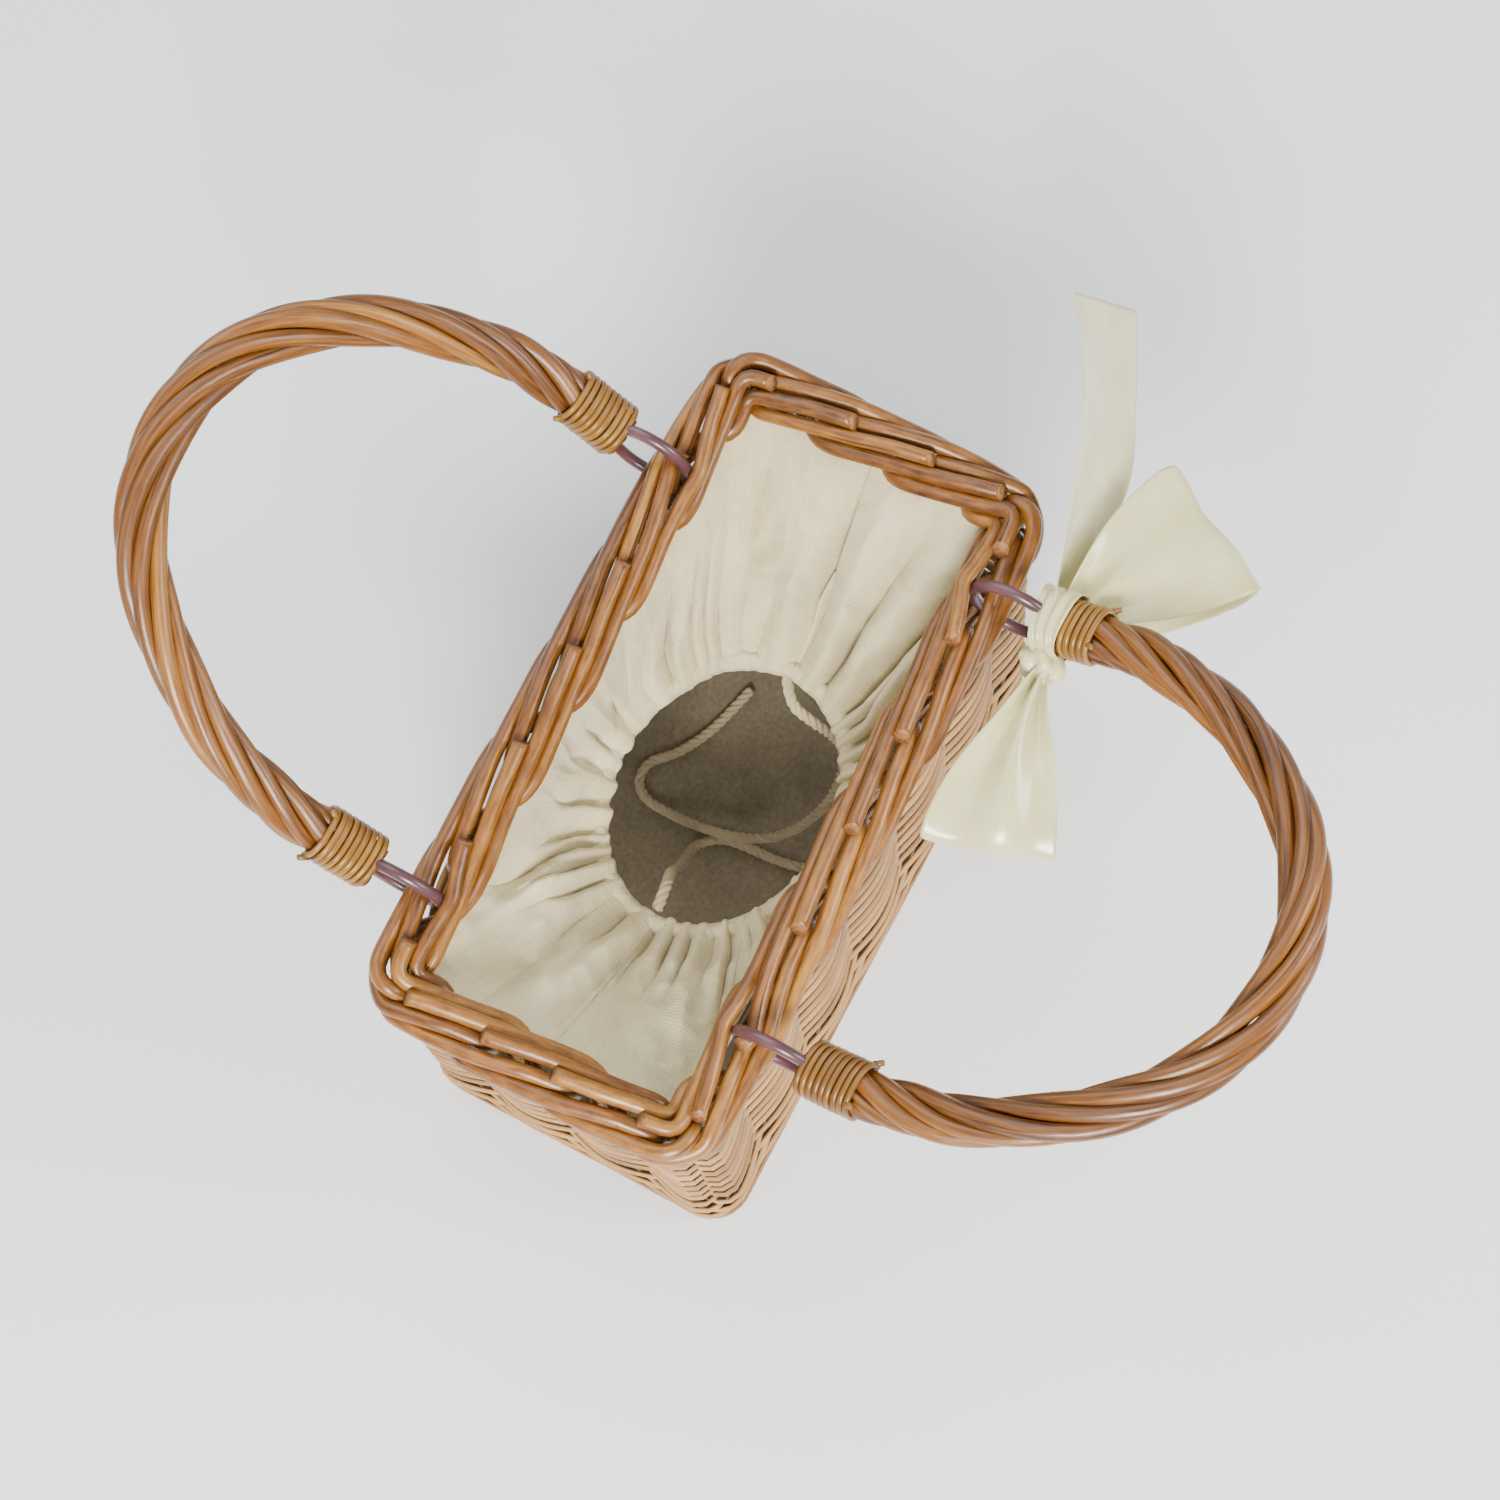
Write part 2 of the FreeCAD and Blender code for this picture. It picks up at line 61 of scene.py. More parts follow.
# ---------------------------------------------------------------- shader arithmetic
class Value:
    """A socket in a material, so that shader maths reads as arithmetic."""

    def __init__(self, shade, socket):
        self.shade, self.socket = shade, socket

    def maths(self, kind, first, second):
        return self.shade.node("ShaderNodeMath", {"operation": kind}, {0: first, 1: second})

    def __add__(self, other):
        return self.maths("ADD", self, other)

    def __sub__(self, other):
        return self.maths("SUBTRACT", self, other)

    def __mul__(self, other):
        return self.maths("MULTIPLY", self, other)

    def __gt__(self, other):
        return self.maths("GREATER_THAN", self, other)


class Shade:
    """A material in the making."""

    def __init__(self, name):
        self.material = bpy.data.materials.new(name)
        self.material.use_nodes = True
        self.tree = self.material.node_tree
        self.surface = self.tree.nodes["Principled BSDF"]

    def node(self, kind, settings=None, sockets=None, out=0):
        made = self.tree.nodes.new(kind)
        for key, value in (settings or {}).items():
            if key == "stops":
                ramp = made.color_ramp
                while len(ramp.elements) < len(value):
                    ramp.elements.new(1.0)
                for element, (place, colour) in zip(ramp.elements, value):
                    element.position, element.color = place, (*colour, 1)
            else:
                setattr(made, key, value)
        for key, value in (sockets or {}).items():
            self.put(made.inputs[key], value)
        return Value(self, made.outputs[out])

    def put(self, socket, value):
        if isinstance(value, Value):
            self.tree.links.new(value.socket, socket)
        else:
            socket.default_value = value

    def own_map(self, across=1.0, along=1.0):
        """The piece's own UV map in metres, stretched: x across the grain, y along it."""
        uv = self.node("ShaderNodeUVMap", {"uv_map": "UVMap"})
        return self.node("ShaderNodeMapping", None, {"Vector": uv, "Scale": (across, along, 1)})

    def place(self, scale=(1, 1, 1)):
        point = self.node("ShaderNodeTexCoord", out=3)
        return self.node("ShaderNodeMapping", None, {"Vector": point, "Scale": scale})

    def noise(self, vector, scale, detail=2.0, rough=0.5):
        return self.node("ShaderNodeTexNoise", None,
                         {"Vector": vector, "Scale": scale, "Detail": detail, "Roughness": rough})

    def ramp(self, value, *stops):
        return self.node("ShaderNodeValToRGB", {"stops": stops}, {"Fac": value})

    def mix(self, amount, first, second):
        return self.node("ShaderNodeMix", {"data_type": "RGBA"},
                         {0: amount, 6: first, 7: second}, out=2)

    def bump(self, height, distance, strength=1.0):
        normal = self.node("ShaderNodeBump", None,
                           {"Height": height, "Distance": distance * MM, "Strength": strength})
        self.finish(Normal=normal)

    def finish(self, **sockets):
        for key, value in sockets.items():
            self.put(self.surface.inputs[key.replace("_", " ")], value)
        return self.material


def colour(red, green, blue):
    """A colour given as it looks on a screen, 0 to 255, as the linear light a shader takes."""
    return tuple(((c / 255 + 0.055) / 1.055) ** 2.4 for c in (red, green, blue))


def willow(name, dark, middle, light, speck, rough, grain_depth, speck_size=120.0, spots=0.2):
    """Peeled willow: lengthwise grain, slow changes of tone, small dark knots."""
    shade = Shade(name)
    tone = shade.node("ShaderNodeAttribute", {"attribute_name": "tone"}, out=2)
    grain = shade.noise(shade.own_map(1, 0.035), 1500.0, 4.0, 0.6)
    patch = shade.noise(shade.own_map(0.5, 0.35), 90.0, 2.0)
    mixed = grain * 0.55 + patch * 0.45 + tone * 0.42 - 0.21
    wood = shade.ramp(mixed, (0.25, dark), (0.5, middle), (0.78, light))
    flat = {"feature": "F1", "voronoi_dimensions": "2D"}
    spread = {"Vector": shade.own_map(1, 0.45), "Scale": speck_size, "Randomness": 1.0}
    knots = shade.node("ShaderNodeTexVoronoi", flat, spread)
    cell = shade.node("ShaderNodeTexVoronoi", flat, spread, out=1)
    chosen = shade.node("ShaderNodeSeparateColor", None, {"Color": cell}) > 1 - spots
    speckle = shade.noise(shade.own_map(1, 0.3), 700.0, 1.0)
    knot = shade.node("ShaderNodeMapRange", {"clamp": True},
                      {"Value": knots + speckle * 0.12, 1: 0.2, 2: 0.11, 3: 0.0, 4: 1.0}) * chosen
    shade.bump(grain * 0.8 - knot * 1.2, grain_depth)
    return shade.finish(Base_Color=shade.mix(knot * 0.85, wood, (*speck, 1)),
                        Roughness=grain * 0.22 + rough, Coat_Weight=0.12, Coat_Roughness=0.35)


WILLOW = willow("buff_willow", colour(54, 26, 7), colour(121, 73, 25), colour(174, 122, 51),
                colour(28, 13, 6), 0.22, 0.16)
STRIP = willow("split_willow", colour(108, 68, 32), colour(172, 127, 74), colour(206, 165, 102),
               colour(84, 50, 32), 0.42, 0.16, 150.0, 0.08)
SKEIN = willow("willow_skein", colour(72, 40, 10), colour(120, 79, 26), colour(174, 128, 50),
               colour(80, 46, 20), 0.24, 0.1, 110.0, 0.05)


def pale_end():
    """The cut ends of the rods: pale pith and fine end grain."""
    shade = Shade("cut_willow")
    pith = shade.noise(shade.place(), 900.0, 3.0)
    shade.bump(pith, 0.15)
    return shade.finish(
        Base_Color=shade.ramp(pith, (0.3, colour(108, 66, 32)), (0.7, colour(160, 110, 62))),
        Roughness=0.6)


def stained_board():
    """Brown-grey pressed board, speckled."""
    shade = Shade("pressed_board")
    speck = shade.noise(shade.place(), 650.0, 5.0, 0.7)
    cloud = shade.noise(shade.place(), 28.0, 2.0)
    shade.bump(speck, 0.1)
    tint = shade.ramp(speck * 0.6 + cloud * 0.4, (0.3, colour(98, 88, 68)),
                      (0.52, colour(124, 113, 89)), (0.72, colour(148, 137, 112)))
    return shade.finish(Base_Color=tint, Roughness=0.75)


def covered_wire():
    """Plum-brown plastic cover on wire."""
    shade = Shade("covered_wire")
    smear = shade.noise(shade.place(), 420.0, 3.0)
    cloud = shade.noise(shade.place(), 90.0, 2.0)
    shade.bump(smear, 0.05)
    return shade.finish(
        Base_Color=shade.ramp(cloud, (0.3, colour(66, 38, 42)), (0.7, colour(96, 60, 65))),
        Roughness=smear * 0.2 + 0.22, Coat_Weight=0.3, Coat_Roughness=0.2)


def linen():
    """Plain-woven cloth: threads both ways, slubs and a few darker flecks."""
    shade = Shade("linen")
    weft, warp = (
        shade.node("ShaderNodeTexWave", {"wave_type": "BANDS", "bands_direction": way},
                   {"Vector": shade.own_map(), "Scale": 330.0, "Distortion": 1.2,
                    "Detail": 2.0, "Detail Scale": 1.0})
        for way in "XY")
    slub = shade.noise(shade.own_map(1, 0.12), 900.0, 3.0)
    cross_slub = shade.noise(shade.own_map(0.12, 1), 900.0, 3.0)
    cloud = shade.noise(shade.own_map(), 45.0, 3.0)
    height = weft * 0.5 + warp * 0.5 + slub * 0.7 + cross_slub * 0.7
    shade.bump(height, 0.16, 0.9)
    tint = cloud * 0.5 + slub * 0.25 + cross_slub * 0.25
    return shade.finish(
        Base_Color=shade.ramp(tint, (0.3, colour(184, 170, 128)), (0.5, colour(205, 192, 152)),
                              (0.72, colour(219, 208, 172))),
        Roughness=0.92, Sheen_Weight=0.25, Sheen_Roughness=0.5)


def cotton():
    """Soft twisted cotton cord, its colour darkened all over as painted shade for cord lying deep
    in the basket.
    """
    shade = Shade("cotton_cord")
    fibre = shade.noise(shade.own_map(1, 0.25), 2200.0, 3.0)
    shade.bump(fibre, 0.2)
    # painted shade: both cord colours are darkened by about a quarter
    return shade.finish(
        Base_Color=shade.ramp(fibre, (0.3, colour(172, 153, 112)), (0.7, colour(214, 199, 160))),
        Roughness=0.85, Sheen_Weight=0.3, Sheen_Roughness=0.5)


def satin():
    """Ivory satin: fine ribs across the ribbon and a soft broad shine."""
    shade = Shade("ivory_satin")
    rib = shade.node("ShaderNodeTexWave", {"wave_type": "BANDS", "bands_direction": "Y"},
                     {"Vector": shade.own_map(), "Scale": 900.0, "Distortion": 0.3, "Detail": 1.0})
    thread = shade.noise(shade.own_map(1, 0.03), 2600.0, 3.0)
    cloud = shade.noise(shade.own_map(), 60.0, 2.0)
    shade.bump(rib * 0.3 + thread * 0.7, 0.03, 0.5)
    return shade.finish(
        Base_Color=shade.ramp(cloud * 0.6 + thread * 0.4, (0.3, colour(196, 187, 130)),
                              (0.7, colour(222, 215, 164))),
        Roughness=thread * 0.1 + 0.2, Coat_Weight=0.5, Coat_Roughness=0.22, Sheen_Weight=0.3,
        Sheen_Roughness=0.35)


CUT_END, BOARD, WIRE, LINEN, COTTON, SATIN = (
    pale_end(), stained_board(), covered_wire(), linen(), cotton(), satin())


# ---------------------------------------------------------------- making pieces
def piece(name, mesh, body, slot, materials, *nodes):
    """A finished mesh as a named piece that rides on a body and stands for CAD nodes."""
    made = bpy.data.objects.new(name, mesh)
    bpy.context.collection.objects.link(made)
    for material in materials:
        mesh.materials.append(material)
    mesh.shade_smooth()
    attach(made, body)
    if nodes:
        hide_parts(*nodes)
    return made


class Maker:
    """Gathers several surfaces into one mesh, with a UV map in metres and a tone for each."""

    def __init__(self):
        self.bm = bmesh.new()
        self.uv = self.bm.loops.layers.uv.new("UVMap")
        self.tone = self.bm.verts.layers.float.new("tone")

    def surface(self, across, along, place, wide, long, tone=0.5, closed=False):
        """A grid of cells bent to place(a, b), a across and b along, both 0 to 1; wide and
        long are its flat size. A closed one meets itself round its a direction."""
        part = bmesh.new()
        uv = part.loops.layers.uv.new("UVMap")
        bmesh.ops.create_grid(part, x_segments=across, y_segments=along, size=1)
        for face in part.faces:
            for loop in face.loops:
                x, y, _ = loop.vert.co
                loop[uv].uv = ((x + 1) / 2 * wide * MM, (y + 1) / 2 * long * MM)
        for vert in part.verts:
            x, y, _ = vert.co
            vert.co = place((x + 1) / 2, (y + 1) / 2) * MM
        if closed:
            bmesh.ops.remove_doubles(part, verts=part.verts, dist=1e-6)
        self.take(part, tone)

    def take(self, part, tone=0.5):
        mesh = bpy.data.meshes.new("part")
        part.to_mesh(mesh)
        part.free()
        self.take_mesh(mesh, tone)

    def take_mesh(self, mesh, tone=0.5):
        start = len(self.bm.verts)
        self.bm.from_mesh(mesh)
        bpy.data.meshes.remove(mesh)
        self.bm.verts.ensure_lookup_table()
        for vert in self.bm.verts[start:]:
            vert[self.tone] = tone

    def rod(self, line, radius, tone=0.5, sides=2, cut=None):
        """A round rod along a line of points; radius may be one number or one for each point.
        cut is a (point, direction) where its far end is sliced off at a slant."""
        data = bpy.data.curves.new("rod", "CURVE")
        data.dimensions = "3D"
        spline = data.splines.new("POLY")
        spline.points.add(len(line) - 1)
        for i, (point, co) in enumerate(zip(spline.points, line)):
            point.co = (*(Vector(co) * MM), 1)
            point.radius = radius if isinstance(radius, (int, float)) else radius[i]
        data.bevel_depth = MM
        data.bevel_resolution = sides
        data.use_fill_caps = True
        holder = bpy.data.objects.new("rod", data)
        mesh = bpy.data.meshes.new_from_object(holder)
        length = sum((Vector(b) - Vector(a)).length for a, b in zip(line, line[1:]))
        girth = 2 * math.pi * (radius if isinstance(radius, (int, float)) else radius[0])
        shift = random.random()
        for item in mesh.uv_layers["UVMap"].uv:
            item.vector = (item.vector[0] * girth * MM + shift,
                           item.vector[1] * length * MM + shift)
        bpy.data.objects.remove(holder)
        bpy.data.curves.remove(data)
        part = bmesh.new()
        part.from_mesh(mesh)
        bpy.data.meshes.remove(mesh)
        bmesh.ops.remove_doubles(part, verts=part.verts, dist=1e-6)
        if cut:
            place, way = cut
            sliced = bmesh.ops.bisect_plane(
                part, geom=[*part.verts, *part.edges, *part.faces],
                plane_co=Vector(place) * MM, plane_no=way, clear_outer=True)
            rim = [e for e in sliced["geom_cut"] if isinstance(e, bmesh.types.BMEdge)]
            for face in bmesh.ops.edgeloop_fill(part, edges=rim)["faces"]:
                face.material_index = 1
        self.take(part, tone)

    def done(self, name, body, slot, materials, *nodes, thick=None):
        """The gathered surfaces as a finished piece; thick makes cloth of it."""
        if thick:
            bmesh.ops.recalc_face_normals(self.bm, faces=self.bm.faces)
        mesh = bpy.data.meshes.new(name)
        self.bm.to_mesh(mesh)
        self.bm.free()
        made = piece(name, mesh, body, slot, materials, *nodes)
        if thick:
            shell = made.modifiers.new("cloth", "SOLIDIFY")
            shell.thickness = thick * MM
            shell.offset = 0
        return made


def ease(low, high, x):
    """0 below low, 1 above high, and a smooth step between."""
    t = min(max((x - low) / (high - low), 0), 1)
    return t * t * (3 - 2 * t)


def wander(x, seed, scale=1.0):
    """Smooth random wandering between -1 and 1."""
    return noise.noise(Vector((x * scale, seed * 7.3, seed * 1.7)))


# ---------------------------------------------------------------- camera, light and floor
SENSOR = 36.0
VIEW_REACH = 2220.3 / 1500    # how far off a thing is that fills the view, by its own width


def make_camera():
    data = bpy.data.cameras.new("camera")
    data.sensor_width = SENSOR
    data.lens = SENSOR * VIEW_REACH
    data.shift_x, data.shift_y = -0.0336, 0.1001
    data.clip_start, data.clip_end = 0.02, 50
    camera = bpy.data.objects.new("camera", data)
    right = Vector((0.46738, -0.88373, -0.02394))
    down = Vector((-0.86807, -0.45364, -0.20159))
    ahead = right.cross(down)
    turn = Matrix((right, -down, -ahead)).transposed().to_4x4()
    camera.matrix_world = Matrix.Translation(Vector((-127.33, -110.66, 727.5)) * MM) @ turn
    bpy.context.collection.objects.link(camera)
    bpy.context.scene.camera = camera


LAMPS_AIM = Vector((0, 0, 0.08))


def make_lamp(name, place, size, power, tint=(1, 1, 1)):
    data = bpy.data.lights.new(name, "AREA")
    data.shape, data.size, data.size_y = "RECTANGLE", size[0], size[1]
    data.energy, data.color = power, tint
    lamp = bpy.data.objects.new(name, data)
    aim = (LAMPS_AIM - Vector(place)).to_track_quat("-Z", "Y")
    lamp.matrix_world = Matrix.Translation(place) @ aim.to_matrix().to_4x4()
    bpy.context.collection.objects.link(lamp)


def make_studio():
    world = bpy.data.worlds.new("studio")
    bpy.context.scene.world = world
    world.use_nodes = True
    sky = world.node_tree.nodes["Background"].inputs
    sky["Color"].default_value = (0.93, 0.97, 1.0, 1)
    sky["Strength"].default_value = 0.8
    make_lamp("key", (-0.95, -0.4, 1.05), (0.45, 0.45), 42.0, (1, 0.985, 0.95))
    make_lamp("side", (0.5, -1.1, 1.0), (0.5, 0.5), 14.0, (1, 0.99, 0.97))
    make_lamp("fill", (0.7, 1.0, 1.5), (1.6, 1.6), 22.0, (0.97, 0.99, 1.0))
    bm = bmesh.new()
    bmesh.ops.create_grid(bm, x_segments=1, y_segments=1, size=4.0)
    mesh = bpy.data.meshes.new("floor")
    bm.to_mesh(mesh)
    bm.free()
    floor = bpy.data.objects.new("floor", mesh)
    bpy.context.collection.objects.link(floor)
    shade = Shade("pale_floor")
    cloud = shade.noise(shade.place(), 2.5, 2.0)
    mesh.materials.append(shade.finish(
        Base_Color=shade.ramp(cloud, (0.3, colour(224, 226, 227)), (0.7, colour(230, 231, 232))),
        Roughness=0.6))
    floor.location.z = -0.0002


make_camera()
make_studio()

# ---------------------------------------------------------------- drawstring ends
STRING_RIGHT = [
    (40.8, 0, 91), (33.2, -4.2, 90.3), (32, -12.8, 86.6), (33.6, -19, 78.5), (33, -23.5, 68),
    (28, -25.2, 57.5), (20.2, -23.7, 45), (12.2, -17.1, 29.5), (6.5, -7.9, 18.5),
    (3.4, 2.5, 13.4), (1, 14, 13.4), (1.4, 26, 8.2), (2.2, 37, 5.9), (7.6, 42.2, 5.9),
    (15, 41.6, 5.9), (19.8, 35.6, 5.9), (30, 29.4, 5.9), (41, 25.6, 5.9), (52.5, 23, 5.9)]
STRING_LEFT = [
    (-40.8, 0, 91), (-34.2, 1, 90.4), (-29.4, 2.6, 84.8), (-26.2, 5, 73), (-22.2, 7.6, 54),
    (-16.4, 10.1, 34), (-8.8, 13.2, 15.2), (-3.4, 13.4, 7.7), (2.8, 7, 5.9),
    (3.8, -2.5, 5.9), (4, -13, 5.9), (6.5, -24, 5.9), (11.5, -33, 5.9), (19, -38.5, 5.9)]
STRAND, STRAND_OUT = 0.99, 0.86    # a strand's radius, and how far it lies off the middle
STRING_STEP, STRING_LAY = 0.0011, 0.0085    # metres from point to point, and for a whole twist


def spline_points(route, density=10):
    """Points of the smooth line that a route's control points pull into shape, in metres."""
    data = bpy.data.curves.new("route", "CURVE")
    data.dimensions = "3D"
    data.resolution_u = density
    spline = data.splines.new("NURBS")
    spline.points.add(len(route) - 1)
    for point, co in zip(spline.points, route):
        point.co = (*(Vector(co) * MM), 1)
    spline.order_u = 3
    spline.use_endpoint_u = True
    holder = bpy.data.objects.new("route", data)
    mesh = bpy.data.meshes.new_from_object(holder)
    points = [v.co.copy() for v in mesh.vertices]
    bpy.data.objects.remove(holder)
    bpy.data.curves.remove(data)
    bpy.data.meshes.remove(mesh)
    return points


def evenly(points, step):
    """The same line with its points a fixed step apart."""
    points = [Vector(p) for p in points]
    gaps = [(b - a).length for a, b in zip(points, points[1:])]
    total = sum(gaps)
    count = max(2, round(total / step))
    made, i, passed = [], 0, 0.0
    for k in range(count + 1):
        want = total * k / count
        while i < len(gaps) - 1 and passed + gaps[i] < want:
            passed += gaps[i]
            i += 1
        t = (want - passed) / gaps[i] if gaps[i] else 0
        made.append(points[i].lerp(points[i + 1], min(max(t, 0), 1)))
    return made, total


def sideways(line):
    """Two directions square to a line at each of its points, carried along without twist."""
    ways, side = [], None
    for i in range(len(line)):
        ahead = (line[min(i + 1, len(line) - 1)] - line[max(i - 1, 0)]).normalized()
        if side is None:
            side = ahead.cross(Z if abs(ahead.z) < 0.9 else Vector((1, 0, 0)))
        side = (side - ahead * side.dot(ahead)).normalized()
        ways.append((side, ahead.cross(side)))
    return ways


def make_string(name, route, node):
    """A loose end of three strands twisted together."""
    line, length = evenly(spline_points(route), STRING_STEP)
    ways = sideways(line)
    maker = Maker()
    for strand in range(3):
        path = []
        for i, (point, (side, up)) in enumerate(zip(line, ways)):
            turn = 2 * math.pi * (strand / 3 + i * STRING_STEP / STRING_LAY)
            off = side * math.cos(turn) + up * math.sin(turn)
            path.append((point + off * STRAND_OUT * MM) / MM)
        maker.rod(path, STRAND, tone=0.4 + 0.1 * strand, sides=1)
    made = maker.done(name, "basket", "cotton_cord", [COTTON], node)


make_string("drawstring_right_cord", STRING_RIGHT, "drawstring_right_end")
make_string("drawstring_left_cord", STRING_LEFT, "drawstring_left_end")


# ---------------------------------------------------------------- woven border
SIDES = ("front", "back", "left", "right")
QUARTERS = ((1, 1), (-1, 1), (-1, -1), (1, -1))    # the corners' signs, anticlockwise


class Track:
    """A rounded rectangle round the basket, measured by length along it, anticlockwise."""

    def __init__(self, half_x, half_y, radius, round_off=1.0):
        self.half_x, self.half_y, self.radius, self.round_off = half_x, half_y, radius, round_off
        rows = []
        for quarter, (sx, sy) in enumerate(QUARTERS):
            for i in range(17):
                angle = math.radians(90 * quarter + 90 * i / 16)
                rows.append((sx, sy, math.cos(angle), math.sin(angle)))
        self.table = np.array(rows + rows[:1])
        line = self.spread(self.table, 0.0)
        self.marks = np.concatenate([[0], np.cumsum(np.hypot(*np.diff(line, axis=0).T))])
        self.length = float(self.marks[-1])

    def spread(self, rows, out):
        """Places on the track, or on its neighbour that lies out further outwards."""
        radius = max(self.radius + self.round_off * out, 2.2)
        half = np.array([self.half_x + out - radius, self.half_y + out - radius])
        return rows[:, :2] * half + rows[:, 2:] * radius

    def at(self, s, out=0.0, z=0.0):
        """The point at s along the track, moved outwards by out."""
        s %= self.length
        row = np.array([[np.interp(s, self.marks, self.table[:, k]) for k in range(4)]])
        row[:, 2:] /= np.hypot(*row[0, 2:])
        x, y = self.spread(row, out)[0]
        return Vector((x, y, z))

    def mark(self, x, y):
        """How far along the track its nearest place to (x, y) is."""
        fine = np.linspace(0, self.length, 4000, endpoint=False)
        rows = np.array([np.interp(fine, self.marks, self.table[:, k]) for k in range(4)]).T
        rows[:, 2:] /= np.hypot(rows[:, 2], rows[:, 3])[:, None]
        away = self.spread(rows, 0.0) - np.array([x, y])
        return float(fine[np.argmin((away ** 2).sum(1))])


def wall_line(z):
    """Half sizes of the rectangle that the stakes stand on, at a height."""
    t = (z - WALL_LOW) / (WALL_HIGH - WALL_LOW)
    return RIM_X - 3 * (1 - t) - 9.5 * t, RIM_Y - 4 * (1 - t) - 9.5 * t


def stake_places(z):
    """Where all the stakes are at a height, with the side each is on."""
    half_x, half_y = wall_line(z)
    top_x, top_y = wall_line(WALL_HIGH)
    spots = []
    for sign, side in ((-1, "front"), (1, "back")):
        spots += [(side, i * 31 * half_x / top_x, sign * half_y) for i in range(-3, 4)]
    for sign, side in ((-1, "left"), (1, "right")):
        spots += [(side, sign * half_x, (i - 1.5) * 26 * half_y / top_y) for i in range(4)]
    return spots


BORDER = Track(RIM_X - 10, RIM_Y - 10, 4.5, 0.6)
# How a border rod runs, by stake gaps from where it bends over: how far in from the rim's
# edge it lies, and how high. Over the top to the outer edge, under, up inside to its tip.
COURSE = ((-0.02, 9.4, 138.0), (0.02, 9.2, 139.6), (0.12, 8.8, 141.8), (0.5, 7.5, 143.8),
          (1.0, 5.0, 143.2), (2.0, 2.7, 139.8), (2.2, 2.7, 138.5), (2.5, 8.6, 136.4),
          (2.8, 16.4, 138.0), (3.0, 17.4, 139.6), (4.0, 14.4, 142.8), (4.7, 12.0, 145.8),
          (5.4, 10.0, 146.6))


def border_routes():
    """The first lay of each border rod, before the rods press each other into place."""
    stakes = sorted((BORDER.mark(x, y), side) for side, x, y in stake_places(WALL_HIGH))
    count = len(stakes)
    times, inward, height = zip(*COURSE)
    routes = []
    for i, (start, side) in enumerate(stakes):
        reach = [stakes[(i - k) % count][0] for k in range(-1, 7)]
        for k in range(1, 8):
            while reach[k] > reach[k - 1]:
                reach[k] -= BORDER.length
        tip = 5.28 + 0.2 * wander(i, 17, 2.9)
        line = [BORDER.at(start, 0.4, z) for z in (130, 133, 136)]
        for t in np.arange(-0.02, tip, 0.06):
            s = np.interp(t, range(-1, 7), reach)
            sway = 0.35 * wander(i * 3 + t, 3)
            line.append(BORDER.at(s, 10 - np.interp(t, times, inward) + sway,
                                  np.interp(t, times, height)))
        line = evenly(line, 2.0)[0]
        calm = [line[0], line[1]]
        calm += [(line[k - 1] + line[k] * 2 + line[k + 1]) / 4 for k in range(2, len(line) - 1)]
        routes.append((side, evenly([*calm, line[-1]], 2.0)[0]))
    return routes


EDGE_BAND = 23.0    # how far in from the rim's edge the border's corners turn
ROD_NEAR, ROD_FAR, ROD_TOP = 2.7, 17.6, 146.2    # where rod middles may lie: in from the edge, up


def press_together(routes, rounds=60):
    """Pushes the rods apart until none lies inside another or inside a ring."""
    points = np.array([p for _, line in routes for p in line])
    owner = np.array([i for i, (_, line) in enumerate(routes) for _ in line])
    start = points.copy()
    first = np.array([i == 0 or owner[i] != owner[i - 1] for i in range(len(owner))])
    fixed = first | np.roll(first, 1)
    last = np.roll(first, -1)
    rings = [Vector((side * HANDLE_SHIFT + hand * HANDLE_HALF, -side * RIM_Y, HINGE_Z))
             for side in (-1, 1) for hand in (-1, 1)]
    apart = 2 * ROD + 0.05
    for turn in range(rounds):
        gap = points[:, None, :] - points[None, :, :]
        far = np.sqrt((gap ** 2).sum(2))
        clash = (far < apart) & (owner[:, None] != owner[None, :])
        push = np.where(clash, (apart - far) / np.maximum(far, 0.3), 0)
        move = (gap * push[:, :, None]).sum(1)
        share = np.maximum(clash.sum(1), 1)[:, None]
        points += 0.42 * move / share
        for ring in rings:
            away = points - np.array(ring)
            flat = np.hypot(away[:, 1], away[:, 2])
            nearest = away.copy()
            nearest[:, 0] = 0
            nearest *= (RING_RADIUS / np.maximum(flat, 0.1))[:, None]
            off = away - nearest
            size = np.sqrt((off ** 2).sum(1))
            need = np.clip(ROD + RING_WIRE + 0.25 - size, 0, None)
            points += off / np.maximum(size, 0.1)[:, None] * need[:, None]
        outside = np.abs(points[:, :2]) - np.array([RIM_X - EDGE_BAND, RIM_Y - EDGE_BAND])
        corner = (outside > 0).all(1)
        beyond = np.maximum(outside, 0)
        depth = np.where(corner, EDGE_BAND - np.hypot(*beyond.T), EDGE_BAND - outside.max(1))
        slanting = beyond / np.maximum(np.hypot(*outside.T), 1e-6)[:, None]
        straight = np.eye(2)[outside.argmax(1)]
        way = np.where(corner[:, None], slanting, straight) * np.sign(points[:, :2])
        points[:, :2] -= way * np.clip(ROD_NEAR - depth, 0, None)[:, None]
        points[:, :2] += way * np.clip(depth - ROD_FAR, 0, None)[:, None]
        points[:, 2] = np.minimum(points[:, 2], ROD_TOP)
        bend = points - start
        middle = ~(first | last)
        calm = bend.copy()
        calm[1:-1] = (bend[:-2] + bend[2:]) / 2
        weight = 0.5 if turn < rounds - 8 else 0.25
        bend[middle] += weight * (calm[middle] - bend[middle])
        points = start + bend
        points[fixed] = start[fixed]
    made, k = [], 0
    for side, line in routes:
        made.append((side, [Vector(p) for p in points[k:k + len(line)]]))
        k += len(line)
    return made


